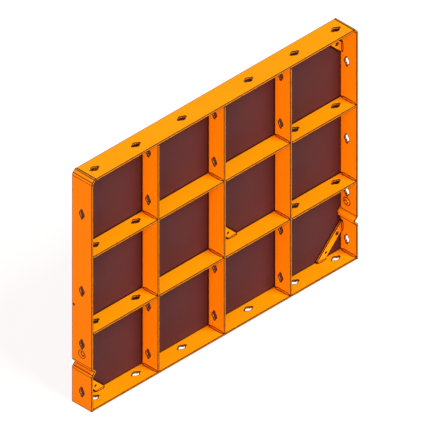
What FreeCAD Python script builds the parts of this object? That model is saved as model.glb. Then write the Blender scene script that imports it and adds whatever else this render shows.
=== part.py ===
import FreeCAD, Part
import math
import os
import re
from enum import IntEnum

import Sketcher
from FreeCAD import Placement, Rotation, Vector

# A steel-framed panel for concrete formwork: flat steel bars and ribs welded on edge into a grid
# of cells, with a film-faced plywood sheet set into the back of the grid.  The panel stands on its
# bottom edge.  X runs along its width, Y from the open rib side (negative) to the concrete face
# (positive), and Z up from the bottom edge.  The origin is in the middle under the bottom edge.
# All lengths are in millimetres.

COUNTS = (
    ("bays_across", 4, "cells side by side"),
    ("rows_high", 3, "cells one above another"),
)

DRIVING_SIZES = (
    ("panel_width", 1000, "outside width, over the two side bars"),
    ("panel_height", 750, "outside height, over the bottom and top bars"),
    ("panel_depth", 75, "concrete face to the front edges of the steel"),
    ("bar_thickness", 6, "flat steel of the outer frame"),
    ("rib_thickness", 6, "flat steel of the inner ribs"),
    ("rolled_radius", 0.8, "rounding along the edges of the flat steel"),
    ("ply_thickness", 15, "plywood sheet"),
    ("ply_joint", 3, "joint between the plywood and the steel round it"),
    ("seal_depth", 8, "concrete face to the inner side of the sealing compound in that joint"),
    ("grid_offset", 125, "corner to the first line of the fastening grid"),
    ("grid_pitch", 250, "spacing of the fastening grid"),
    ("slot_pair_spacing", 155, "between the two slots that straddle a grid line"),
    ("slot_length", 30, "whole length of a slot, along its bar"),
    ("slot_width", 6.5, "width of a slot at its ends"),
    ("slot_eye", 18, "diameter of the round opening in a slot's middle"),
    ("notch_opening", 30, "height of a tie notch at the outer face of a side bar"),
    ("notch_depth", 10, "depth of a tie notch"),
    ("notch_bend_radius", 10, "outer radius where a side bar bends into a notch"),
    ("notch_root_radius", 3, "outer radius in the bottom of a notch"),
    ("dimple_level", 170, "height of the pressed dimple in a side bar"),
    ("dimple_rim", 24.5, "diameter of the dimple at the outer face"),
    ("dimple_floor", 13, "diameter of the dimple at its bottom"),
    ("dimple_depth", 3.5, "depth of the dimple"),
    ("boss_foot", 26, "diameter of the boss behind the dimple, at the inner face"),
    ("boss_top", 14, "diameter of that boss at its top"),
    ("boss_height", 4.5, "height of that boss"),
    ("pin_level", 318, "height of the pin through a side bar into the plywood's edge"),
    ("pin_diameter", 4.5, "edge pin and its hole"),
    ("pin_length", 32, "edge pin"),
    ("pin_recess", 2, "edge pin's end below the outer face of the side bar"),
    ("strip_reach", 64, "corner to where a fixing strip's inner edge meets a bar"),
    ("strip_contact", 28, "length of a fixing strip's end along a bar"),
    ("strip_width", 25, "flat steel of the fixing strips"),
    ("strip_thickness", 6, "flat steel of the fixing strips"),
    ("strip_hole_inset", 20, "from a bar to the nearer hole of a fixing strip"),
    ("rivet_hole", 8.5, "larger hole of a fixing strip"),
    ("screw_hole", 5, "smaller hole of a fixing strip"),
    ("screw_diameter", 4.8, "shank of the plywood screws"),
    ("screw_head", 10, "head of the plywood screws"),
    ("screw_tip", 3, "length of the plywood screws' pointed end"),
    ("screw_tip_flat", 1.2, "diameter of the blunt end of that point"),
    ("screw_recess", 1.5, "end of a plywood screw below the front of its fixing strip"),
    ("socket_width", 4, "hexagon socket in a plywood screw, over its corners"),
    ("socket_depth", 1.8, "depth of the hexagon socket"),
)

DERIVED_SIZES = (
    ("half_width", "panel_width / 2", "middle to the outer face of a side bar"),
    ("half_depth", "panel_depth / 2", "middle to either face of the panel"),
    ("rib_depth", "panel_depth - ply_thickness", "ribs stand on the plywood"),
    ("bay_pitch", "(panel_width - bar_thickness) / bays_across", "spacing of the upright ribs"),
    ("row_pitch", "(panel_height - bar_thickness) / rows_high", "spacing of the cross ribs"),
    ("pair_half", "slot_pair_spacing / 2", "grid line to a slot of its pair"),
    ("screw_length", "ply_thickness + strip_thickness - screw_recess", "plywood screw"),
)

doc = FreeCAD.newDocument("formwork_panel")
sheet = doc.addObject("Spreadsheet::Sheet", "sizes")
alias_names = [row[0] for row in COUNTS + DRIVING_SIZES + DERIVED_SIZES]
for row_number, (name, content, meaning) in enumerate(COUNTS + DRIVING_SIZES + DERIVED_SIZES, start=1):
    is_formula = isinstance(content, str)
    sheet.set(f"A{row_number}", meaning)
    sheet.set(f"B{row_number}", f"={content}" if is_formula else str(content))
    sheet.setAlias(f"B{row_number}", name)
    doc.recompute()


def in_sheet(text):
    """The same formula, with each size's name pointing at its cell of the sheet."""
    return re.sub(r"[a-z_]+", lambda word: ("sizes." if word[0] in alias_names else "") + word[0], text)


def value_of(text):
    """The number that a formula of sizes gives."""
    return float(sheet.evalExpression(in_sheet(text)))


def bind(item, prop, text):
    item.setExpression(prop, in_sheet(text))


def place(item, rotation, x="0", y="0", z="0"):
    """Put an object where three formulas say, turned by a fixed rotation."""
    item.Placement = Placement(Vector(0, 0, 0), rotation)
    for axis, text in (("x", x), ("y", y), ("z", z)):
        bind(item, f"Placement.Base.{axis}", text)


NO_TURN = Rotation()
LENGTH_UP = Rotation(Vector(0, 1, 0), -90)
FACE_FRONT = Rotation(Vector(1, 0, 0), 90)
FACE_BACK = Rotation(Vector(1, 0, 0), -90)
HALF_TURN = Rotation(Vector(0, 0, 1), 180)

# Points closer than this are the same point.
TOUCH = 0.001

# The vertices of a sketched edge, and the sketch's own two axes and origin.
START, END, CENTRE = IntEnum("Vertex", "START END CENTRE")
ALONG_AXIS, ACROSS_AXIS = IntEnum("SketchAxis", {"ALONG": -1, "ACROSS": -2})
ORIGIN = (ALONG_AXIS, START)


def new_body(label):
    body = doc.addObject("PartDesign::Body", label)
    body.Label = label
    return body


def sketch_in(body, name, role):
    """An empty sketch on one of a body's own origin planes."""
    sketch = body.newObject("Sketcher::SketchObject", name)
    plane = next(item for item in body.Origin.OriginFeatures if item.Role == role)
    sketch.AttachmentSupport = [(plane, "")]
    sketch.MapMode = "FlatFace"
    return sketch


def relate(sketch, kind, *places):
    return sketch.addConstraint(Sketcher.Constraint(kind, *places))


def measure(sketch, kind, places, text):
    """A dimension that follows a formula of the sheet's sizes."""
    index = sketch.addConstraint(Sketcher.Constraint(kind, *places, value_of(text)))
    bind(sketch, f"Constraints[{index}]", text)


def locate(sketch, edge, vertex, along, across):
    """Dimension a point from the sketch's origin in both directions."""
    measure(sketch, "DistanceX", (*ORIGIN, edge, vertex), along)
    measure(sketch, "DistanceY", (*ORIGIN, edge, vertex), across)


def add_line(sketch, first, last):
    """A straight piece of an outline, as its edge number and its first and last vertex."""
    edge = sketch.addGeometry(Part.LineSegment(Vector(*first, 0), Vector(*last, 0)), False)
    return edge, START, END


def add_arc(sketch, centre, first, last, clockwise=False):
    """A round piece of an outline, as its edge number and its first and last vertex."""
    low, high = (last, first) if clockwise else (first, last)
    from_angle = math.atan2(low[1] - centre[1], low[0] - centre[0])
    to_angle = math.atan2(high[1] - centre[1], high[0] - centre[0])
    if to_angle <= from_angle:
        to_angle += 2 * math.pi
    circle = Part.Circle(Vector(*centre, 0), Vector(0, 0, 1), math.dist(centre, first))
    edge = sketch.addGeometry(Part.ArcOfCircle(circle, from_angle, to_angle), False)
    return (edge, END, START) if clockwise else (edge, START, END)


def join_smoothly(sketch, pieces, closed):
    """Join each piece of an outline to the next with a common tangent."""
    followers = pieces[1:] + pieces[:1] if closed else pieces[1:]
    for (edge, _, last), (next_edge, first, _) in zip(pieces, followers):
        relate(sketch, "Tangent", edge, last, next_edge, first)


def pad(body, sketch, length):
    feature = body.newObject("PartDesign::Pad", sketch.Name + "_pad")
    feature.Profile = sketch
    bind(feature, "Length", length)
    return feature


def cut_through(body, sketch):
    """Cut a sketch's outlines right through the body, both ways from its plane."""
    feature = body.newObject("PartDesign::Pocket", sketch.Name + "_cut")
    feature.Profile = sketch
    feature.Type = "ThroughAll"
    feature.Midplane = True
    return feature


def sketch_rounded_section(sketch, width, height, radius):
    """A rectangle with rounded corners, its lower left corner at the sketch's origin."""
    wide, high, corner = value_of(width), value_of(height), value_of(radius)
    far, top = wide - corner, high - corner
    pieces = [
        add_line(sketch, (corner, 0), (far, 0)),
        add_arc(sketch, (far, corner), (far, 0), (wide, corner)),
        add_line(sketch, (wide, corner), (wide, top)),
        add_arc(sketch, (far, top), (wide, top), (far, high)),
        add_line(sketch, (far, high), (corner, high)),
        add_arc(sketch, (corner, top), (corner, high), (0, top)),
        add_line(sketch, (0, top), (0, corner)),
        add_arc(sketch, (corner, corner), (0, corner), (corner, 0)),
    ]
    join_smoothly(sketch, pieces, closed=True)
    lower, right, upper, left = (pieces[index][0] for index in (0, 2, 4, 6))
    arcs = [pieces[index][0] for index in (1, 3, 5, 7)]
    relate(sketch, "Horizontal", lower)
    relate(sketch, "Horizontal", upper)
    relate(sketch, "Vertical", left)
    relate(sketch, "Vertical", right)
    relate(sketch, "PointOnObject", lower, START, ALONG_AXIS)
    relate(sketch, "PointOnObject", left, START, ACROSS_AXIS)
    measure(sketch, "Radius", (arcs[0],), radius)
    for arc in arcs[1:]:
        relate(sketch, "Equal", arcs[0], arc)
    measure(sketch, "DistanceX", (*ORIGIN, right, START), width)
    measure(sketch, "DistanceY", (*ORIGIN, upper, START), height)


def sketch_holes(sketch, centres, diameter):
    """Equal round holes at a list of places."""
    first = None
    for along, across in centres:
        middle = Vector(value_of(along), value_of(across), 0)
        hole = sketch.addGeometry(Part.Circle(middle, Vector(0, 0, 1), value_of(diameter) / 2), False)
        if first is None:
            measure(sketch, "Diameter", (hole,), diameter)
            first = hole
        else:
            relate(sketch, "Equal", first, hole)
        locate(sketch, hole, CENTRE, along, across)


def sketch_long_holes(sketch, centres, length, width):
    """Equal long holes with round ends, lying along the sketch's first axis."""
    half_width = value_of(width) / 2
    half_run = value_of(length) / 2 - half_width
    for along, across in centres:
        x, y = value_of(along), value_of(across)
        near, far = x - half_run, x + half_run
        low, high = y - half_width, y + half_width
        pieces = [
            add_line(sketch, (near, low), (far, low)),
            add_arc(sketch, (far, y), (far, low), (far, high)),
            add_line(sketch, (far, high), (near, high)),
            add_arc(sketch, (near, y), (near, high), (near, low)),
        ]
        join_smoothly(sketch, pieces, closed=True)
        lower, far_end, _, near_end = (piece[0] for piece in pieces)
        relate(sketch, "Horizontal", lower)
        relate(sketch, "Equal", far_end, near_end)
        measure(sketch, "Radius", (near_end,), f"({width}) / 2")
        measure(sketch, "DistanceX", (near_end, CENTRE, far_end, CENTRE), f"({length}) - ({width})")
        locate(sketch, near_end, CENTRE, f"({along}) - (({length}) - ({width})) / 2", across)


def cut_slots(body, places_along):
    """Fastening slots in a bar or rib: a round opening in the middle of a narrow long hole."""
    centres = [(along, "half_depth") for along in places_along]
    eyes = sketch_in(body, f"{body.Label}_slot_eyes", "XY_Plane")
    sketch_holes(eyes, centres, "slot_eye")
    cut_through(body, eyes)
    narrow = sketch_in(body, f"{body.Label}_slot_ends", "XY_Plane")
    sketch_long_holes(narrow, centres, "slot_length", "slot_width")
    cut_through(body, narrow)


def flat_bar(label, length, depth, thickness, slots=()):
    """Flat steel standing on edge.

    Along its own axes it runs from the origin along X, its depth lies along Y from the front
    edge, and its thickness along Z.  The slots are places along its length.
    """
    body = new_body(label)
    section = sketch_in(body, f"{label}_section", "YZ_Plane")
    sketch_rounded_section(section, depth, thickness, "rolled_radius")
    pad(body, section, length)
    if slots:
        cut_slots(body, slots)
    return body


def slot_pair(grid_line):
    """The two slots that straddle a line of the fastening grid."""
    return [f"{grid_line} - pair_half", f"{grid_line} + pair_half"]


def side_bar_outline():
    """The outer face of a side bar, seen on edge.

    It runs straight up from the bottom, bends in and out of a tie notch on the first grid line,
    runs straight again, and bends in once more to half a notch at the top end.
    """
    sketch = doc.addObject("Sketcher::SketchObject", "side_bar_outline")
    bend, root = value_of("notch_bend_radius"), value_of("notch_root_radius")
    half_opening = value_of("notch_opening / 2")
    deepest = value_of("notch_depth")
    levels = (value_of("grid_offset"), value_of("panel_height"))

    # The straight flank between the two bends touches both circles from opposite sides.
    apart = math.hypot(half_opening, deepest - root - bend)
    toward = math.atan2(half_opening, deepest - root - bend)
    touch = toward + math.acos((bend + root) / apart)
    flank_start = (bend + bend * math.cos(touch), bend * math.sin(touch) - half_opening)
    flank_end = (deepest - root - root * math.cos(touch), -root * math.sin(touch))

    pieces = []
    bends = []
    roots = []
    position = 0.0
    for level in levels:
        mouth = level - half_opening
        entry = (level + flank_start[1], flank_start[0])
        bottom = (level + flank_end[1], flank_end[0])
        pieces.append(add_line(sketch, (position, 0), (mouth, 0)))
        bends.append(add_arc(sketch, (mouth, bend), (mouth, 0), entry))
        pieces.append(bends[-1])
        pieces.append(add_line(sketch, entry, bottom))
        at_top = level == levels[-1]
        root_end = (level, deepest) if at_top else (level - flank_end[1], flank_end[0])
        roots.append(add_arc(sketch, (level, deepest - root), bottom, root_end, clockwise=True))
        pieces.append(roots[-1])
        if not at_top:
            position = level + half_opening
            leave = (level - flank_start[1], flank_start[0])
            pieces.append(add_line(sketch, root_end, leave))
            bends.append(add_arc(sketch, (position, bend), leave, (position, 0)))
            pieces.append(bends[-1])
    join_smoothly(sketch, pieces, closed=False)

    lower_run, upper_run = pieces[0][0], pieces[6][0]
    relate(sketch, "Coincident", lower_run, START, *ORIGIN)
    relate(sketch, "Horizontal", lower_run)
    relate(sketch, "Horizontal", upper_run)
    relate(sketch, "PointOnObject", upper_run, START, ALONG_AXIS)
    measure(sketch, "Radius", (bends[0][0],), "notch_bend_radius")
    measure(sketch, "Radius", (roots[0][0],), "notch_root_radius")
    relate(sketch, "Equal", bends[0][0], bends[1][0])
    relate(sketch, "Equal", bends[0][0], bends[2][0])
    relate(sketch, "Equal", roots[0][0], roots[1][0])
    mouths = ("grid_offset - notch_opening / 2", "grid_offset + notch_opening / 2",
              "panel_height - notch_opening / 2")
    for (edge, _, _), text in zip(bends, mouths):
        measure(sketch, "DistanceX", (*ORIGIN, edge, CENTRE), text)
    for (edge, _, _), text in zip(roots, ("grid_offset", "panel_height")):
        locate(sketch, edge, CENTRE, text, "notch_depth - notch_root_radius")
    top_root, _, top_vertex = roots[1]
    relate(sketch, "Vertical", top_root, CENTRE, top_root, top_vertex)
    return sketch


def bent_flat(outline):
    """The outline given the bar's thickness on its inner side, and the panel's depth."""
    outline.Placement = Placement(Vector(0, 0, 0), FACE_BACK)
    profile = doc.addObject("Part::Offset2D", "side_bar_profile")
    profile.Source = outline
    profile.Mode = "Skin"
    profile.Fill = True
    bind(profile, "Value", "-bar_thickness")
    blank = doc.addObject("Part::Extrusion", "side_bar_blank")
    blank.Base = profile
    blank.DirMode = "Normal"
    blank.Solid = True
    bind(blank, "LengthFwd", "panel_depth")
    return blank


def round_long_edges(body, bare):
    """Round the edges that run along the bent flat, but not those across its cut ends."""
    far = value_of("panel_depth")
    names = []
    for number, edge in enumerate(bare.Shape.Edges, start=1):
        ends = [vertex.Point for vertex in edge.Vertexes]
        in_front = all(abs(point.y) < TOUCH for point in ends)
        behind = all(abs(point.y - far) < TOUCH for point in ends)
        across_end = abs(ends[0].x - ends[1].x) < TOUCH
        if (in_front or behind) and not across_end:
            names.append(f"Edge{number}")
    rounding = body.newObject("PartDesign::Fillet", "left_bar_rolled_edges")
    rounding.Base = (bare, names)
    bind(rounding, "Radius", "rolled_radius")


def left_bar():
    """Side bar with its slots, its pressed dimple and the hole for the edge pin."""
    blank = bent_flat(side_bar_outline())
    doc.recompute()
    body = new_body("left_bar")
    body.BaseFeature = blank
    doc.recompute()
    round_long_edges(body, body.Tip)
    upper_slots = ["grid_offset + grid_pitch", "grid_offset + 2 * grid_pitch"]
    cut_slots(body, slot_pair("grid_offset") + upper_slots)

    pin_hole = sketch_in(body, "left_bar_pin_hole", "XY_Plane")
    sketch_holes(pin_hole, [("pin_level", "panel_depth - ply_thickness / 2")], "pin_diameter")
    cut_through(body, pin_hole)

    cones = (("PartDesign::AdditiveCone", "boss", "boss_top", "boss_foot", "boss_height",
              "-bar_thickness - boss_height"),
             ("PartDesign::SubtractiveCone", "hollow", "dimple_floor", "dimple_rim", "dimple_depth",
              "-dimple_depth"))
    for kind, name, narrow_end, wide_end, height, level in cones:
        cone = body.newObject(kind, f"left_bar_dimple_{name}")
        bind(cone, "Radius1", f"{narrow_end} / 2")
        bind(cone, "Radius2", f"{wide_end} / 2")
        bind(cone, "Height", height)
        place(cone, NO_TURN, "dimple_level", "half_depth", level)

    place(body, LENGTH_UP, "-half_width", "-half_depth", "0")
    return body


def right_bar(source):
    """The left side bar's mirror image."""
    mirrored = doc.addObject("Part::Mirroring", "right_bar")
    mirrored.Label = "right_bar"
    mirrored.Source = source
    mirrored.Normal = Vector(1, 0, 0)
    return mirrored


def bottom_and_top_bars():
    """The bars across the panel, with the same slots in both."""
    bottom_length = "panel_width - 2 * bar_thickness"
    top_length = "panel_width - 2 * (bar_thickness + notch_depth)"
    bars = []
    for label, length, level in (("bottom_bar", bottom_length, "0"),
                                 ("top_bar", top_length, "panel_height - bar_thickness")):
        start = f"half_width - ({length}) / 2"
        near = slot_pair("grid_offset") + ["grid_offset + grid_pitch"]
        slots = [f"{text} - ({start})" for text in near]
        slots += [f"panel_width - ({text}) - ({start})" for text in near]
        bar = flat_bar(label, length, "panel_depth", "bar_thickness", slots)
        place(bar, NO_TURN, f"-({length}) / 2", "-half_depth", level)
        bars.append(bar)
    return bars


def upright_centre(index):
    """The middle of an upright rib, or of a side bar for the first and last index."""
    return f"(bar_thickness / 2 - half_width + {index} * bay_pitch)"


def cross_centre(index):
    """The middle level of a cross rib, or of the bottom bar for index 0."""
    return f"(bar_thickness / 2 + {index} * row_pitch)"


def upright_ribs():
    """Ribs from the bottom bar to the top bar, with a pair of slots near each end."""
    ribs = []
    length = "panel_height - 2 * bar_thickness"
    ends = slot_pair("grid_offset") + slot_pair("panel_height - grid_offset")
    slots = [f"{text} - bar_thickness" for text in ends]
    for index in range(1, int(value_of("bays_across"))):
        rib = flat_bar(f"upright_rib_{index}", length, "rib_depth", "rib_thickness", slots)
        right_face = f"{upright_centre(index)} + rib_thickness / 2"
        place(rib, LENGTH_UP, right_face, "-half_depth", "bar_thickness")
        ribs.append(rib)
    return ribs


def cross_ribs():
    """Short ribs between the uprights; those in the two outer bays have a pair of slots."""
    ribs = []
    bays = int(value_of("bays_across"))
    for row in range(1, int(value_of("rows_high"))):
        for bay in range(1, bays + 1):
            left_half = "bar_thickness / 2" if bay == 1 else "rib_thickness / 2"
            right_half = "bar_thickness / 2" if bay == bays else "rib_thickness / 2"
            start = f"({upright_centre(bay - 1)} + {left_half})"
            end = f"({upright_centre(bay)} - {right_half})"
            slots = []
            if bay == 1:
                slots = [f"{text} - half_width - {start}" for text in slot_pair("grid_offset")]
            if bay == bays:
                slots = [f"half_width - ({text}) - {start}" for text in slot_pair("grid_offset")]
            rib = flat_bar(f"cross_rib_{row}_{bay}", f"{end} - {start}", "rib_depth",
                           "rib_thickness", slots)
            place(rib, NO_TURN, start, "-half_depth", f"{cross_centre(row)} - rib_thickness / 2")
            ribs.append(rib)
    return ribs


# Each fixing strip crosses a corner between an upright and a level piece of steel: the corner's
# place, and on which side of the upright and of the level piece the strip lies.
LEFT_FACE = "(bar_thickness - half_width)"
RIGHT_FACE = "(half_width - bar_thickness)"
FLOOR_FACE = "bar_thickness"
TOP_FACE = "(panel_height - bar_thickness)"
MIDDLE_UPRIGHT = int(value_of("bays_across")) // 2
MIDDLE_FACE = f"({upright_centre(MIDDLE_UPRIGHT)} + rib_thickness / 2)"
LOW_RIB_FACE = f"({cross_centre(1)} + rib_thickness / 2)"
STRIP_CORNERS = (
    ("fixing_strip_bottom_left", LEFT_FACE, FLOOR_FACE, "+", "+"),
    ("fixing_strip_bottom_right", RIGHT_FACE, FLOOR_FACE, "-", "+"),
    ("fixing_strip_top_left", LEFT_FACE, TOP_FACE, "+", "-"),
    ("fixing_strip_top_right", RIGHT_FACE, TOP_FACE, "-", "-"),
    ("fixing_strip_middle", MIDDLE_FACE, LOW_RIB_FACE, "+", "+"),
)
STRIP_HOLE_REACH = "(strip_reach + strip_width / sqrt(2) - strip_hole_inset)"


def fixing_strip(label, corner_x, corner_z, side, rise):
    """A flat across a corner, welded to both pieces of steel and lying on the plywood.

    Its ends follow the steel and their outer tips are cut off square.  The larger hole is near
    the upright piece, the smaller one near the level piece.
    """
    body = new_body(label)
    sketch = sketch_in(body, f"{label}_outline", "XY_Plane")
    reach, contact = value_of("strip_reach"), value_of("strip_contact")
    far = reach + contact
    tip = value_of("(strip_width * sqrt(2) - strip_contact) / 2")
    corners = [(reach, 0), (far, 0), (far + tip, tip), (tip, far + tip), (0, far), (0, reach)]
    edges = []
    for first, last in zip(corners, corners[1:] + corners[:1]):
        edges.append(add_line(sketch, first, last)[0])
    for edge, next_edge in zip(edges, edges[1:] + edges[:1]):
        relate(sketch, "Coincident", edge, END, next_edge, START)
    on_level, low_tip, outer, high_tip, on_upright, inner = edges
    relate(sketch, "PointOnObject", on_level, START, ALONG_AXIS)
    relate(sketch, "PointOnObject", on_level, END, ALONG_AXIS)
    relate(sketch, "PointOnObject", on_upright, START, ACROSS_AXIS)
    relate(sketch, "PointOnObject", on_upright, END, ACROSS_AXIS)
    relate(sketch, "Perpendicular", low_tip, outer)
    relate(sketch, "Perpendicular", high_tip, outer)
    relate(sketch, "Parallel", inner, outer)
    measure(sketch, "DistanceX", (*ORIGIN, on_level, START), "strip_reach")
    measure(sketch, "DistanceY", (*ORIGIN, on_upright, END), "strip_reach")
    measure(sketch, "DistanceX", (on_level, START, on_level, END), "strip_contact")
    measure(sketch, "DistanceY", (on_upright, END, on_upright, START), "strip_contact")
    measure(sketch, "Distance", (outer, START, inner), "strip_width")
    sketch_holes(sketch, [("strip_hole_inset", STRIP_HOLE_REACH)], "rivet_hole")
    sketch_holes(sketch, [(STRIP_HOLE_REACH, "strip_hole_inset")], "screw_hole")
    pad(body, sketch, "strip_thickness")

    # Half of the strips are laid down turned over, which is the same as mirrored.
    turned_over = side != rise
    back = "half_depth - ply_thickness"
    front = f"{back} - strip_thickness"
    rotation = FACE_FRONT if rise == "+" else FACE_BACK
    if side == "-":
        rotation = HALF_TURN.multiply(rotation)
    place(body, rotation, corner_x, front if turned_over else back, corner_z)
    return body


def countersunk_screw(name, x, z):
    """A plywood screw, its head flush with the concrete face and its point toward the ribs."""
    head_height = "(screw_head - screw_diameter) / 2"
    head = doc.addObject("Part::Cone", f"{name}_head")
    bind(head, "Radius1", "screw_head / 2")
    bind(head, "Radius2", "screw_diameter / 2")
    bind(head, "Height", head_height)
    shank = doc.addObject("Part::Cylinder", f"{name}_shank")
    bind(shank, "Radius", "screw_diameter / 2")
    bind(shank, "Height", "screw_length - screw_tip")
    point = doc.addObject("Part::Cone", f"{name}_point")
    bind(point, "Radius1", "screw_diameter / 2")
    bind(point, "Radius2", "screw_tip_flat / 2")
    bind(point, "Height", "screw_tip")
    place(point, NO_TURN, z="screw_length - screw_tip")
    solid = doc.addObject("Part::MultiFuse", f"{name}_solid")
    solid.Shapes = [head, shank, point]
    socket = doc.addObject("Part::Prism", f"{name}_socket")
    socket.Polygon = 6
    bind(socket, "Circumradius", "socket_width / 2")
    bind(socket, "Height", "socket_depth")
    for item in (solid, socket):
        place(item, FACE_FRONT, x, "half_depth", z)
    screw = doc.addObject("Part::Cut", name)
    screw.Base = solid
    screw.Tool = socket
    return screw


def group(label, items):
    compound = doc.addObject("Part::Compound", label)
    compound.Label = label
    compound.Links = items
    return compound


def strip_screws():
    """One screw through the plywood into the smaller hole of each fixing strip."""
    screws = []
    for number, (_, corner_x, corner_z, side, rise) in enumerate(STRIP_CORNERS, start=1):
        x = f"{corner_x} {side} {STRIP_HOLE_REACH}"
        z = f"{corner_z} {rise} strip_hole_inset"
        screws.append(countersunk_screw(f"strip_screw_{number}", x, z))
    return group("strip_screws", screws)


def edge_pins():
    """A headless pin through each side bar into the middle of the plywood's edge."""
    pins = []
    for side, start in (("left", "pin_recess - half_width"),
                        ("right", "half_width - pin_recess - pin_length")):
        pin = doc.addObject("Part::Cylinder", f"edge_pin_{side}")
        bind(pin, "Radius", "pin_diameter / 2")
        bind(pin, "Height", "pin_length")
        place(pin, Rotation(Vector(0, 1, 0), 90), start, "half_depth - ply_thickness / 2", "pin_level")
        pins.append(pin)
    return group("edge_pins", pins)


def sketch_box(sketch, left, low, right, high):
    """An upright rectangle between four formulas."""
    x0, y0, x1, y1 = (value_of(text) for text in (left, low, right, high))
    corners = [(x0, y0), (x1, y0), (x1, y1), (x0, y1)]
    edges = [add_line(sketch, *pair)[0] for pair in zip(corners, corners[1:] + corners[:1])]
    for edge, next_edge in zip(edges, edges[1:] + edges[:1]):
        relate(sketch, "Coincident", edge, END, next_edge, START)
    lower, right_edge, upper, left_edge = edges
    relate(sketch, "Horizontal", lower)
    relate(sketch, "Vertical", right_edge)
    relate(sketch, "Horizontal", upper)
    relate(sketch, "Vertical", left_edge)
    locate(sketch, lower, START, left, low)
    locate(sketch, upper, START, right, high)


def plywood_blank():
    """The sheet inside the frame, cut round the tie notches."""
    body = new_body("plywood_blank")
    outline = sketch_in(body, "plywood_outline", "XY_Plane")
    edge = "half_width - bar_thickness - ply_joint"
    top = "panel_height - bar_thickness - ply_joint"
    sketch_box(outline, f"-({edge})", "bar_thickness + ply_joint", edge, top)
    pad(body, outline, "ply_thickness")

    relief = "notch_opening / 2 + ply_joint"
    inner = "bar_thickness + notch_depth + ply_joint - half_width"
    cutouts = sketch_in(body, "plywood_cutouts", "XY_Plane")
    sketch_box(cutouts, "-half_width", f"grid_offset - ({relief})", inner, f"grid_offset + {relief}")
    sketch_box(cutouts, "-half_width", f"panel_height - ({relief})", inner, "panel_height")
    cut = cut_through(body, cutouts)
    doc.recompute()
    mirrored = body.newObject("PartDesign::Mirrored", "plywood_cutouts_mirrored")
    mirrored.Originals = [cut]
    mirrored.MirrorPlane = (cutouts, ["V_Axis"])
    body.Tip = mirrored
    place(body, FACE_FRONT, "0", "half_depth", "0")
    return body


def cut_away(label, base, tools):
    """What is left of a solid beside or round other pieces."""
    result = doc.addObject("Part::Cut", label)
    result.Label = label
    result.Base = base
    result.Tool = group(f"{label}_tools", tools)
    return result


def seal_block():
    """The space inside the outer frame that holds the sealing compound.

    The compound comes up to where the rolled edges of the steel begin, so it lies a little below
    the concrete face.
    """
    block = doc.addObject("Part::Box", "seal_block")
    bind(block, "Length", "panel_width - 2 * bar_thickness")
    bind(block, "Width", "seal_depth - rolled_radius")
    bind(block, "Height", "panel_height - 2 * bar_thickness")
    place(block, NO_TURN, LEFT_FACE, "half_depth - seal_depth", FLOOR_FACE)
    return block


def notch_voids():
    """The open insides of the tie notches, where they are deeper than the side bars are thick."""
    half_height = "notch_opening / 2 * (1 - (bar_thickness - rolled_radius) / notch_depth)"
    voids = []
    right_start = "half_width - notch_depth - rolled_radius"
    for side, start in (("left", "-half_width"), ("right", right_start)):
        for end, level in (("lower", "grid_offset"), ("upper", "panel_height")):
            void = doc.addObject("Part::Box", f"notch_void_{side}_{end}")
            bind(void, "Length", "notch_depth + rolled_radius")
            bind(void, "Width", "panel_depth")
            bind(void, "Height", f"2 * {half_height}")
            place(void, NO_TURN, start, "-half_depth", f"{level} - {half_height}")
            voids.append(void)
    return voids


left = left_bar()
doc.recompute()
right = right_bar(left)
bottom, top = bottom_and_top_bars()
screws = strip_screws()
pins = edge_pins()
blank = plywood_blank()
ply = cut_away("plywood_sheet", blank, [screw.Base for screw in screws.Links] + [pins])
seal = cut_away("edge_seal", seal_block(), [left, right, blank, pins, *notch_voids()])
strips = [fixing_strip(*row) for row in STRIP_CORNERS]
nodes = [left, right, bottom, top, *upright_ribs(), *cross_ribs(), *strips, ply, seal, screws, pins]
doc.recompute()

# Nothing is written unless every object was made and every piece is a sound solid.
failed = [item.Label for item in doc.Objects if {"Invalid", "Error"} & set(item.State)]
if failed:
    raise RuntimeError("these objects failed: " + ", ".join(failed))
for node in nodes:
    if node.Shape.isNull() or not node.Shape.isValid() or not node.Shape.Solids:
        raise RuntimeError("this piece is not a sound solid: " + node.Label)

os.makedirs("parts", exist_ok=True)
for node in nodes:
    node.Shape.exportStep(f"parts/{node.Label}.step")
    box = node.Shape.BoundBox
    print(f"{node.Label}: {len(node.Shape.Solids)} solid(s), {node.Shape.Volume / 1000:.1f} cm3, "
          f"X {box.XMin:.1f}..{box.XMax:.1f} Y {box.YMin:.1f}..{box.YMax:.1f} "
          f"Z {box.ZMin:.1f}..{box.ZMax:.1f}")
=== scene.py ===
import math
import random

import bmesh
import bpy
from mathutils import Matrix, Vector


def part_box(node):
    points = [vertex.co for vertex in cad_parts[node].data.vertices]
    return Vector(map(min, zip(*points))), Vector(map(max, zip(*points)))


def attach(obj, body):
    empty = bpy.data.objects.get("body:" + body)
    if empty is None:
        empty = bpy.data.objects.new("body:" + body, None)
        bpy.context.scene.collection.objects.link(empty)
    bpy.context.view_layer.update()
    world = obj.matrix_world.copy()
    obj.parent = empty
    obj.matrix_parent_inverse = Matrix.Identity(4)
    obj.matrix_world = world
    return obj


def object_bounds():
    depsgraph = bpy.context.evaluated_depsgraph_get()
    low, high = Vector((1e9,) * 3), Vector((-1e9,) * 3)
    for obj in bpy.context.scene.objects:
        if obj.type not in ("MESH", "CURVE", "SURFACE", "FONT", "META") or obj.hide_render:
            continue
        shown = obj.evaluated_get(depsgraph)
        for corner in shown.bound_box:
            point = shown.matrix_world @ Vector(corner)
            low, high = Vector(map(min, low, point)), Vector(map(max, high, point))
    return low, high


# A steel-framed plywood panel for concrete formwork, seen from its open rib side.  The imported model
# holds the bars, ribs, strips, plywood, seal and fixings.  This scene gives them their finish and
# adds the painted weld beads that hold the steel together.  All lengths are in metres.

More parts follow.
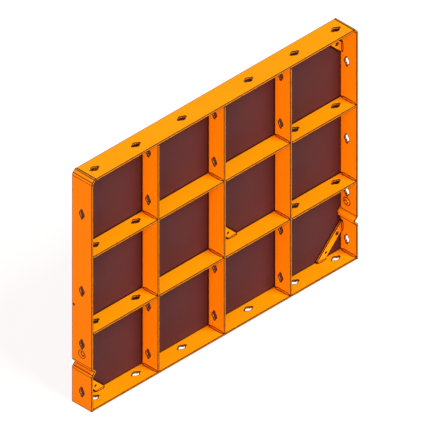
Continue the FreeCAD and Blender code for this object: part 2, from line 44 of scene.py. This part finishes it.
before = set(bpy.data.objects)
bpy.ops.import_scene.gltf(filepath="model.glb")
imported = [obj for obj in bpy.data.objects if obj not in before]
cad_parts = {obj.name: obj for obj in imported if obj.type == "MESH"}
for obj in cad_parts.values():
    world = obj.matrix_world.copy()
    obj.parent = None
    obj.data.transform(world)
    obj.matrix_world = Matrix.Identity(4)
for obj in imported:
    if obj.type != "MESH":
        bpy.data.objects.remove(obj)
packed_low, packed_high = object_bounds()

MM = 0.001
X_AXIS = Vector((1, 0, 0))
Y_AXIS = Vector((0, 1, 0))
Z_AXIS = Vector((0, 0, 1))

# The drawing is a true isometric view: the camera looks along a diagonal of the axes.
IMAGE_SIZE = 430
PIXELS_PER_METRE = 376.9
VIEW_DIRECTION = Vector((1, 1, -1)).normalized()
CAMERA_DISTANCE = 4.0
CAMERA_REACH = 20.0
PANEL_MIDDLE_PIXEL = (215.1, 214.3)

# Weld beads between flats that meet at a right angle.
RIB_WELD_LEG = 4.0 * MM
STRIP_WELD_LEG = 3.0 * MM
WELD_FRONT_GAP = 5.0 * MM
WELD_BACK_GAP = 8.0 * MM
WELD_STEP = 0.55 * MM
WELD_RIPPLE_SPACING = 1.9 * MM
WELD_RIPPLE_HEIGHT = 0.06
WELD_WANDER = 0.05
WELD_WANDER_LENGTH = (22 * MM, 40 * MM)
WELD_BULGE = 0.12
WELD_SINK = 0.4 * MM
WELD_FACE_POINTS = 7
WELD_LEAST_STATIONS = 8
WELD_END_SIZE = 0.05
WELD_LEAD = 0.35
STRIP_WELD_INSET = 2.0 * MM
TOUCH = 0.05 * MM
WELD_SEED = 4

# Dark marks painted on a side bar: lines where it bends into a notch, rings at the dimple.  They are
# partly marks of the press and partly painted shade in the notches and the dimple's hollow.
NOTCH_LEVELS = (125 * MM, packed_high.z)
BEND_START = 15.0 * MM
BEND_END = 7.7 * MM
BEND_MARK = 1.45 * MM
DIMPLE_LEVEL = 170 * MM
DIMPLE_RINGS = (
    # Radius and half width of the mark.
    (12.4 * MM, 1.7 * MM),
    # The inner ring, made wide, is painted shade in the dimple's hollow.
    (6.2 * MM, 2.2 * MM),
)
MARK_CORE = 0.4
MARK_STRENGTH = 0.95

# Finishes, as linear colours.
ORANGE_DEEP = (0.94, 0.320, 0.001, 1)
ORANGE_LIGHT = (0.98, 0.360, 0.001, 1)
# Painted shade: the colours that corners and narrow holes darken towards, and how far that reaches.
PAINTED_SHADE_ORANGE = (0.09, 0.016, 0.001, 1)
PAINTED_SHADE_REACH = 3.6 * MM
EDGE_BROWN = (0.05, 0.016, 0.005, 1)
EDGE_REACH = 2.8 * MM
WELD_ORANGE = (0.68, 0.17, 0.002, 1)
FILM_DARK = (0.079, 0.0210, 0.0220, 1)
FILM_LIGHT = (0.091, 0.0265, 0.0280, 1)
# Painted shade for the film in corners and narrow holes.
PAINTED_SHADE_FILM = (0.022, 0.005, 0.005, 1)
PLY_EDGE_DARK = (0.060, 0.022, 0.014, 1)
PLY_EDGE_LIGHT = (0.160, 0.075, 0.040, 1)
SEAL_DARK = (0.070, 0.062, 0.056, 1)
SEAL_LIGHT = (0.110, 0.100, 0.092, 1)
ZINC_DARK = (0.36, 0.36, 0.35, 1)
ZINC_LIGHT = (0.62, 0.62, 0.60, 1)
NOISE_RANGE = (0.3, 0.7)
PATCH_RANGE = (0.35, 0.65)
FACE_RANGE = (0.4, 0.6)
PLY_LAYER = 3.0 * MM
SATIN_GLOSS = 0.08
SEAL_GLOSS = 0.3

# The share of rays from a spot, shot outward or into the steel, that meet nothing within reach.  With
# the first share the spot still counts as plain, and with the second as wholly in a corner or edge.
PLAIN_SHARE = 0.99
CORNER_SHARE = 0.86
SHARE_SAMPLES = 8

# Sockets of Blender's mix node, when it mixes colours.
MIX_SHARE = 0
MIX_FIRST = 6
MIX_SECOND = 7
MIX_RESULT = 2

# Light.  A surface that faces the lamps and the sky gets a level of about one.
WHITE = (1, 1, 1, 1)
SKY_LEVEL = 0.12
LAMPS = (
    # Name, strength, direction toward it, width in degrees, colour, and whether gloss shows it.
    ("left_lamp", 3.5, Vector((-0.92, -0.37, 0.18)), 30, (1.0, 0.495, 0.46), True),
    ("front_lamp", 3.9, Vector((0.20, -0.72, 0.66)), 36, (1.0, 1.0, 0.95), True),
    ("back_lamp", 2.8, Vector((0.64, 0.76, 0.06)), 10, (1.0, 1.0, 1.0), False),
)
FLOOR_SIZE = 30.0
FLOOR_COLOUR = (0.11, 0.11, 0.11, 1)
FLOOR_SHADOW_COLOUR = (0.32, 0.32, 0.32, 1)
FLOOR_GLOW = 0.85
FLOOR_DROP = 0.2 * MM


def place_camera():
    """An isometric camera that puts the panel where the drawing has it."""
    data = bpy.data.cameras.new("camera")
    data.type = "ORTHO"
    data.ortho_scale = IMAGE_SIZE / PIXELS_PER_METRE
    camera = bpy.data.objects.new("camera", data)
    bpy.context.scene.collection.objects.link(camera)
    turn = VIEW_DIRECTION.to_track_quat("-Z", "Y")
    right, up = turn @ X_AXIS, turn @ Y_AXIS
    middle = (packed_low + packed_high) / 2
    centre = IMAGE_SIZE / 2
    across = (centre - PANEL_MIDDLE_PIXEL[0]) / PIXELS_PER_METRE
    down = (centre - PANEL_MIDDLE_PIXEL[1]) / PIXELS_PER_METRE
    camera.location = middle + across * right - down * up - CAMERA_DISTANCE * VIEW_DIRECTION
    camera.rotation_mode = "QUATERNION"
    camera.rotation_quaternion = turn
    data.clip_end = CAMERA_REACH
    bpy.context.scene.camera = camera


class Shading:
    """Short ways to add the nodes of one material or world and to link them."""

    def __init__(self, owner):
        owner.use_nodes = True
        self.tree = owner.node_tree
        self.tree.nodes.clear()

    def add(self, kind, values=None, **settings):
        """A node with its settings, and with its inputs set to values or linked to outputs."""
        node = self.tree.nodes.new(kind)
        for name, setting in settings.items():
            setattr(node, name, setting)
        for name, value in (values or {}).items():
            if isinstance(value, bpy.types.NodeSocket):
                self.tree.links.new(value, node.inputs[name])
            else:
                node.inputs[name].default_value = value
        return node

    def place(self):
        """Positions in the row frame."""
        return self.add("ShaderNodeTexCoord").outputs["Object"]

    def stretched(self, position, factors):
        """Positions multiplied along each axis."""
        return self.add("ShaderNodeMapping", {"Vector": position, "Scale": factors}).outputs["Vector"]

    def noise(self, position, per_metre, detail=2.0, roughness=0.5):
        """Soft random spots, from 0 to 1."""
        values = {"Vector": position, "Scale": per_metre, "Detail": detail, "Roughness": roughness}
        return self.add("ShaderNodeTexNoise", values).outputs["Fac"]

    def spread(self, value, low, high, to_low=0.0, to_high=1.0):
        """A value's range from low to high, stretched to another range and held inside it."""
        values = {"Value": value, "From Min": low, "From Max": high, "To Min": to_low, "To Max": to_high}
        return self.add("ShaderNodeMapRange", values).outputs["Result"]

    def between(self, share, first, second):
        """A colour between two, by a share from 0 to 1."""
        values = {MIX_SHARE: share, MIX_FIRST: first, MIX_SECOND: second}
        return self.add("ShaderNodeMix", values, data_type="RGBA").outputs[MIX_RESULT]

    def bumps(self, heights):
        """A normal from several (height, depth in metres) pairs, one on top of another."""
        normal = None
        for height, depth in heights:
            values = {"Height": height, "Strength": 1.0, "Distance": depth}
            if normal is not None:
                values["Normal"] = normal
            normal = self.add("ShaderNodeBump", values).outputs["Normal"]
        return normal

    def painted_corner_shade(self, reach):
        """Painted shade, from 0 in the open to 1 deep in a corner or hole narrower than the reach."""
        return self.near_surface(reach, inside=False)

    def thin_edges(self, reach):
        """From 0 on the flats to 1 along outer edges, over a band as wide as the reach."""
        return self.near_surface(reach, inside=True)

    def near_surface(self, reach, inside):
        """From 0 with no surface within reach to 1 with much, seen outward or into the steel."""
        share = self.add("ShaderNodeAmbientOcclusion", {"Distance": reach}, samples=SHARE_SAMPLES,
                         inside=inside).outputs["AO"]
        return self.spread(share, PLAIN_SHARE, CORNER_SHARE)

    def number(self, operation, first, second=0.0):
        """What an operation gives on two numbers, or on the first alone."""
        return self.add("ShaderNodeMath", {0: first, 1: second}, operation=operation).outputs["Value"]

    def part(self, vector, axis):
        """A vector's share along one axis."""
        return self.add("ShaderNodeSeparateXYZ", {"Vector": vector}).outputs[axis]

    def normal(self):
        """The direction in which the surface faces."""
        return self.add("ShaderNodeNewGeometry").outputs["Normal"]

    def line_at(self, value, middle, half_width):
        """One where a value is at the middle, falling to zero over the half width."""
        off = self.number("ABSOLUTE", self.number("SUBTRACT", value, middle))
        return self.spread(off, MARK_CORE * half_width, half_width, 1.0, 0.0)

    def press_marks_and_dimple_shade(self, position):
        """Dark marks of the press and painted shade of the notches and dimple, from 0 off them to their
        strength on them.
        """
        across, deep, high = (self.part(position, axis) for axis in "XYZ")
        to_notches = [self.number("ABSOLUTE", self.number("SUBTRACT", high, level))
                      for level in NOTCH_LEVELS]
        from_notch = self.number("MINIMUM", *to_notches)
        bend_start = self.line_at(from_notch, BEND_START, BEND_MARK)
        # The bends' inner marks are on the outer faces only, where the normal points off the middle.
        outward = self.number("MULTIPLY", self.part(self.normal(), "X"), across)
        outer = self.number("GREATER_THAN", outward)
        bend_end = self.number("MULTIPLY", outer, self.line_at(from_notch, BEND_END, BEND_MARK))
        total = self.number("MAXIMUM", bend_start, bend_end)
        rise = self.number("SUBTRACT", high, DIMPLE_LEVEL)
        flat = self.add("ShaderNodeCombineXYZ", {"X": deep, "Y": rise}).outputs["Vector"]
        radius = self.add("ShaderNodeVectorMath", {0: flat}, operation="LENGTH").outputs["Value"]
        for ring, half_width in DIMPLE_RINGS:
            total = self.number("MAXIMUM", total, self.line_at(radius, ring, half_width))
        return self.number("MULTIPLY", total, MARK_STRENGTH)

    def surface(self, values):
        """The material's surface, with the given values and links on its sockets."""
        shader = self.add("ShaderNodeBsdfPrincipled", values)
        self.add("ShaderNodeOutputMaterial", {"Surface": shader.outputs["BSDF"]})


def paint_material(name, on_flats, pressed=False):
    """Satin orange enamel: on the flats a fine skin over faintly uneven hot-rolled steel.

    It is thin along the edges of the flats, where the steel darkens it.  A pressed flat carries dark
    marks, partly of the press and partly painted shade in the notches and the dimple.  On weld beads
    it is darker all over, and everywhere its colour is darkened in corners and narrow holes as
    painted shade.
    """
    material = bpy.data.materials.new(name)
    make = Shading(material)
    position = make.place()
    patches = make.noise(position, per_metre=6.0, detail=3.0)
    mottle = make.noise(position, per_metre=90.0, detail=2.0)
    skin = make.noise(position, per_metre=700.0, detail=1.0)
    scale = make.noise(position, per_metre=140.0, detail=4.0, roughness=0.6)
    share = make.number("MULTIPLY", make.spread(patches, *PATCH_RANGE), mottle)
    if on_flats:
        orange = make.between(share, ORANGE_DEEP, ORANGE_LIGHT)
        orange = make.between(make.thin_edges(EDGE_REACH), orange, EDGE_BROWN)
        if pressed:
            # Painted shade in part: dark marks at the notch bends and rings in the dimple's hollow.
            orange = make.between(make.press_marks_and_dimple_shade(position), orange, EDGE_BROWN)
    else:
        orange = make.between(share, WELD_ORANGE, ORANGE_DEEP)
    make.surface({
        # Painted shade: the colour darkens in corners and narrow holes.
        "Base Color": make.between(make.painted_corner_shade(PAINTED_SHADE_REACH), orange, PAINTED_SHADE_ORANGE),
        "Roughness": make.spread(mottle, *NOISE_RANGE, to_low=0.42, to_high=0.54),
        "Specular IOR Level": SATIN_GLOSS,
        "Normal": make.bumps([(scale, 0.12 * MM), (skin, 0.03 * MM)]),
    })
    return material


def film_material():
    """Dark brown phenolic film pressed on birch plywood, and the plywood's sealed edges."""
    material = bpy.data.materials.new("brown_film")
    make = Shading(material)
    position = make.place()
    along = make.stretched(position, (1.0, 1.0, 7.0))
    grain = make.noise(along, per_metre=30.0, detail=5.0, roughness=0.6)
    cloud = make.noise(position, per_metre=9.0, detail=3.0)
    fine = make.noise(position, per_metre=500.0, detail=1.0)
    tone = make.number("MULTIPLY", make.spread(grain, *NOISE_RANGE), make.spread(cloud, *NOISE_RANGE))
    face = make.between(tone, FILM_DARK, FILM_LIGHT)
    angle = make.number("MULTIPLY", make.part(position, "Y"), 2 * math.pi / PLY_LAYER)
    layers = make.number("SINE", angle)
    edge = make.between(make.spread(layers, -1.0, 1.0), PLY_EDGE_DARK, PLY_EDGE_LIGHT)
    facing = make.number("ABSOLUTE", make.part(make.normal(), "Y"))
    brown = make.between(make.spread(facing, *FACE_RANGE), edge, face)
    make.surface({
        # Painted shade: the film darkens in corners and narrow holes.
        "Base Color": make.between(make.painted_corner_shade(PAINTED_SHADE_REACH), brown, PAINTED_SHADE_FILM),
        "Roughness": make.spread(grain, *NOISE_RANGE, to_low=0.40, to_high=0.52),
        "Specular IOR Level": SATIN_GLOSS,
        "Normal": make.bumps([(grain, 0.10 * MM), (fine, 0.02 * MM)]),
    })
    return material


def seal_material():
    """Matt sealing compound with the faint waves of a finger's stroke."""
    material = bpy.data.materials.new("sealing_compound")
    make = Shading(material)
    position = make.place()
    waves = make.noise(position, per_metre=120.0, detail=2.0)
    grit = make.noise(position, per_metre=900.0, detail=1.0)
    make.surface({
        "Base Color": make.between(make.spread(waves, *NOISE_RANGE), SEAL_DARK, SEAL_LIGHT),
        "Roughness": make.spread(grit, 0.2, 0.8, to_low=0.60, to_high=0.80),
        "Specular IOR Level": SEAL_GLOSS,
        "Normal": make.bumps([(waves, 0.25 * MM), (grit, 0.05 * MM)]),
    })
    return material


def zinc_material():
    """Bright zinc plating with a faintly brushed grain."""
    material = bpy.data.materials.new("zinc_plating")
    make = Shading(material)
    position = make.place()
    crystals = make.noise(position, per_metre=600.0, detail=3.0)
    brushed = make.noise(make.stretched(position, (1.0, 12.0, 1.0)), per_metre=400.0, detail=2.0)
    make.surface({
        "Base Color": make.between(make.spread(crystals, *NOISE_RANGE), ZINC_DARK, ZINC_LIGHT),
        "Metallic": 1.0,
        "Roughness": make.spread(brushed, *NOISE_RANGE, to_low=0.28, to_high=0.45),
        "Normal": make.bumps([(brushed, 0.03 * MM)]),
    })
    return material


def bead_ring(origin, first_leg, second_leg, reach, lead):
    """The points round a bead at one place, from its root over its face.

    The lead puts the middle of a ripple ahead of its edges, as in a pool that was pushed along.
    """
    ring = [origin - (first_leg + second_leg) * WELD_SINK]
    for point in range(WELD_FACE_POINTS):
        angle = math.pi / 2 * point / (WELD_FACE_POINTS - 1)
        flat = 1 / (math.cos(angle) + math.sin(angle))
        middle_share = math.sin(2 * angle)
        radius = reach * flat * (1 + WELD_BULGE * middle_share)
        spot = origin + radius * (math.cos(angle) * first_leg + math.sin(angle) * second_leg)
        ring.append(spot + lead * middle_share)
    return ring


def weld_bead(mesh, start, end, first_leg, second_leg, leg, dice):
    """One fillet bead along a corner, from start to end.

    The legs are the directions in which the bead reaches along the two flats.  Its ripples follow
    each other like fallen coins, its size wanders a little, and both its ends are round.
    """
    length = (end - start).length
    along = (end - start) / length
    stations = max(WELD_LEAST_STATIONS, round(length / WELD_STEP))
    ripple_shift = dice.uniform(0, WELD_RIPPLE_SPACING)
    wander_shift = dice.uniform(0, 2 * math.pi)
    wander_length = dice.uniform(*WELD_WANDER_LENGTH)
    rings = []
    for station in range(stations + 1):
        travel = length * station / stations
        from_end = min(travel, length - travel) / leg
        swell = math.sqrt(max(0.0, 1 - max(0.0, 1 - from_end) ** 2))
        phase = ((travel + ripple_shift) / WELD_RIPPLE_SPACING) % 1.0
        wander = math.sin(2 * math.pi * travel / wander_length + wander_shift)
        height = 1 + WELD_RIPPLE_HEIGHT * math.sin(math.pi * phase) + WELD_WANDER * wander
        reach = leg * height * max(swell, WELD_END_SIZE)
        lead = WELD_LEAD * WELD_RIPPLE_SPACING * swell if 0 < station < stations else 0.0
        ring = bead_ring(start + along * travel, first_leg, second_leg, reach, along * lead)
        rings.append([mesh.verts.new(spot) for spot in ring])
    for ring, next_ring in zip(rings, rings[1:]):
        for index in range(len(ring)):
            after = (index + 1) % len(ring)
            face = mesh.faces.new((ring[index], ring[after], next_ring[after], next_ring[index]))
            face.smooth = True
    mesh.faces.new(list(reversed(rings[0])))
    mesh.faces.new(rings[-1])


def weld_piece(name, seams, leg, dice, paint):
    """A piece made of several beads, each a (start, end, first leg, second leg) seam."""
    mesh = bmesh.new()
    for start, end, first_leg, second_leg in seams:
        weld_bead(mesh, start, end, first_leg, second_leg, leg, dice)
    bmesh.ops.recalc_face_normals(mesh, faces=mesh.faces)
    data = bpy.data.meshes.new(name)
    mesh.to_mesh(data)
    mesh.free()
    piece = bpy.data.objects.new(name, data)
    bpy.context.scene.collection.objects.link(piece)
    data.materials.append(paint)
    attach(piece, "root")


def seam_from_front_to_back(x, z, low, high, first_leg, second_leg):
    """A seam along a rib's depth, clear of its front edge and of the plywood."""
    start = Vector((x, low.y + WELD_FRONT_GAP, z))
    end = Vector((x, high.y - WELD_BACK_GAP, z))
    return start, end, first_leg, second_leg


def rib_end_seams(node, upright):
    """The four seams at a rib's two ends, one on each side of the rib."""
    low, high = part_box(node)
    seams = []
    for x, outward in ((low.x, -X_AXIS), (high.x, X_AXIS)):
        for z, upward in ((low.z, -Z_AXIS), (high.z, Z_AXIS)):
            # An upright rib's bead leans on its side and on the level bar that it stands on.  A
            # cross rib's bead lies on its top or underside and on the upright at its end.
            legs = (outward, -upward) if upright else (-outward, upward)
            seams.append(seam_from_front_to_back(x, z, low, high, *legs))
    return seams


def corner_seams():
    """The seams inside the two lower corners of the outer frame."""
    low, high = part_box("bottom_bar")
    rib_low, rib_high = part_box("upright_rib_1")
    seams = []
    for x, inward in ((low.x, X_AXIS), (high.x, -X_AXIS)):
        seams.append(seam_from_front_to_back(x, high.z, rib_low, rib_high, inward, Z_AXIS))
    return seams


def strip_seams(node):
    """The two seams where a fixing strip's ends meet the steel, along its front edges."""
    low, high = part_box(node)
    near_left = "left" in node or "middle" in node
    near_bottom = "bottom" in node or "middle" in node
    x, across = (low.x, X_AXIS) if near_left else (high.x, -X_AXIS)
    z, rise = (low.z, Z_AXIS) if near_bottom else (high.z, -Z_AXIS)
    points = [vertex.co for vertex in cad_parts[node].data.vertices]
    on_level = [point.x for point in points if abs(point.z - z) < TOUCH]
    on_upright = [point.z for point in points if abs(point.x - x) < TOUCH]
    level_start = Vector((min(on_level) + STRIP_WELD_INSET, low.y, z))
    level_end = Vector((max(on_level) - STRIP_WELD_INSET, low.y, z))
    upright_start = Vector((x, low.y, min(on_upright) + STRIP_WELD_INSET))
    upright_end = Vector((x, low.y, max(on_upright) - STRIP_WELD_INSET))
    return [
        (level_start, level_end, rise, -Y_AXIS),
        (upright_start, upright_end, across, -Y_AXIS),
    ]


def add_welds():
    """Every bead, one piece for each rib, one for the outer frame and one for the strips."""
    dice = random.Random(WELD_SEED)
    paint = paint_material("orange_enamel_on_welds", on_flats=False)
    weld_piece("welds_outer_frame", corner_seams(), RIB_WELD_LEG, dice, paint)
    for node in sorted(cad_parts):
        if node.startswith(("upright_rib", "cross_rib")):
            seams = rib_end_seams(node, upright=node.startswith("upright_rib"))
            weld_piece("welds_" + node, seams, RIB_WELD_LEG, dice, paint)
    strips = [node for node in sorted(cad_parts) if node.startswith("fixing_strip")]
    seams = [seam for node in strips for seam in strip_seams(node)]
    weld_piece("welds_fixing_strips", seams, STRIP_WELD_LEG, dice, paint)


def dress_nodes():
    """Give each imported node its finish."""
    enamel = (paint_material("orange_enamel", on_flats=True), "frame_paint")
    pressed = (paint_material("orange_enamel_on_pressed_bars", on_flats=True, pressed=True), "frame_paint")
    zinc = (zinc_material(), "zinc_steel")
    finishes = {
        "left_bar": pressed,
        "right_bar": pressed,
        "plywood_sheet": (film_material(), "ply_film"),
        "edge_seal": (seal_material(), "seal_compound"),
        "strip_screws": zinc,
        "edge_pins": zinc,
    }
    for name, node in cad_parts.items():
        material, slot = finishes.get(name, enamel)
        node.data.materials.clear()
        node.data.materials.append(material)


def add_floor():
    """A floor a hair below the panel, shown white but for the panel's soft shadow."""
    mesh = bmesh.new()
    bmesh.ops.create_grid(mesh, x_segments=1, y_segments=1, size=FLOOR_SIZE / 2)
    data = bpy.data.meshes.new("floor")
    mesh.to_mesh(data)
    mesh.free()
    floor = bpy.data.objects.new("floor", data)
    bpy.context.scene.collection.objects.link(floor)
    floor.location.z = packed_low.z - FLOOR_DROP
    material = bpy.data.materials.new("pale_floor")
    make = Shading(material)
    plain = make.add("ShaderNodeBsdfDiffuse", {"Color": FLOOR_COLOUR})
    shown = make.add("ShaderNodeBsdfDiffuse", {"Color": FLOOR_SHADOW_COLOUR})
    glow = make.add("ShaderNodeEmission", {"Strength": FLOOR_GLOW})
    bright = make.add("ShaderNodeAddShader", {0: shown.outputs[0], 1: glow.outputs[0]})
    mixed = make.add("ShaderNodeMixShader", {0: seen_directly(make), 1: plain.outputs[0],
                                             2: bright.outputs[0]})
    make.add("ShaderNodeOutputMaterial", {"Surface": mixed.outputs[0]})
    data.materials.append(material)


def seen_directly(make):
    """One for what the camera sees itself, in a reflection or through something clear."""
    path = make.add("ShaderNodeLightPath").outputs
    total = make.number("ADD", path["Is Camera Ray"], path["Is Glossy Ray"])
    total = make.add("ShaderNodeMath", {0: total, 1: path["Is Transmission Ray"]},
                     operation="ADD", use_clamp=True)
    return total.outputs["Value"]


def add_light():
    """An even sky with a white backdrop, and three soft lamps."""
    world = bpy.data.worlds.new("studio")
    bpy.context.scene.world = world
    make = Shading(world)
    sky = make.add("ShaderNodeBackground", {"Color": WHITE, "Strength": SKY_LEVEL})
    backdrop = make.add("ShaderNodeBackground", {"Color": WHITE, "Strength": 1.0})
    mixed = make.add("ShaderNodeMixShader", {0: seen_directly(make), 1: sky.outputs[0],
                                             2: backdrop.outputs[0]})
    make.add("ShaderNodeOutputWorld", {"Surface": mixed.outputs[0]})
    for name, strength, direction, width, colour, in_gloss in LAMPS:
        lamp = bpy.data.lights.new(name, "SUN")
        lamp.energy = strength
        lamp.angle = math.radians(width)
        lamp.color = colour
        light = bpy.data.objects.new(name, lamp)
        bpy.context.scene.collection.objects.link(light)
        light.visible_glossy = in_gloss
        light.rotation_mode = "QUATERNION"
        light.rotation_quaternion = (-direction).to_track_quat("-Z", "Y")


bpy.context.scene.view_settings.view_transform = "Standard"
place_camera()
dress_nodes()
add_welds()
add_floor()
add_light()
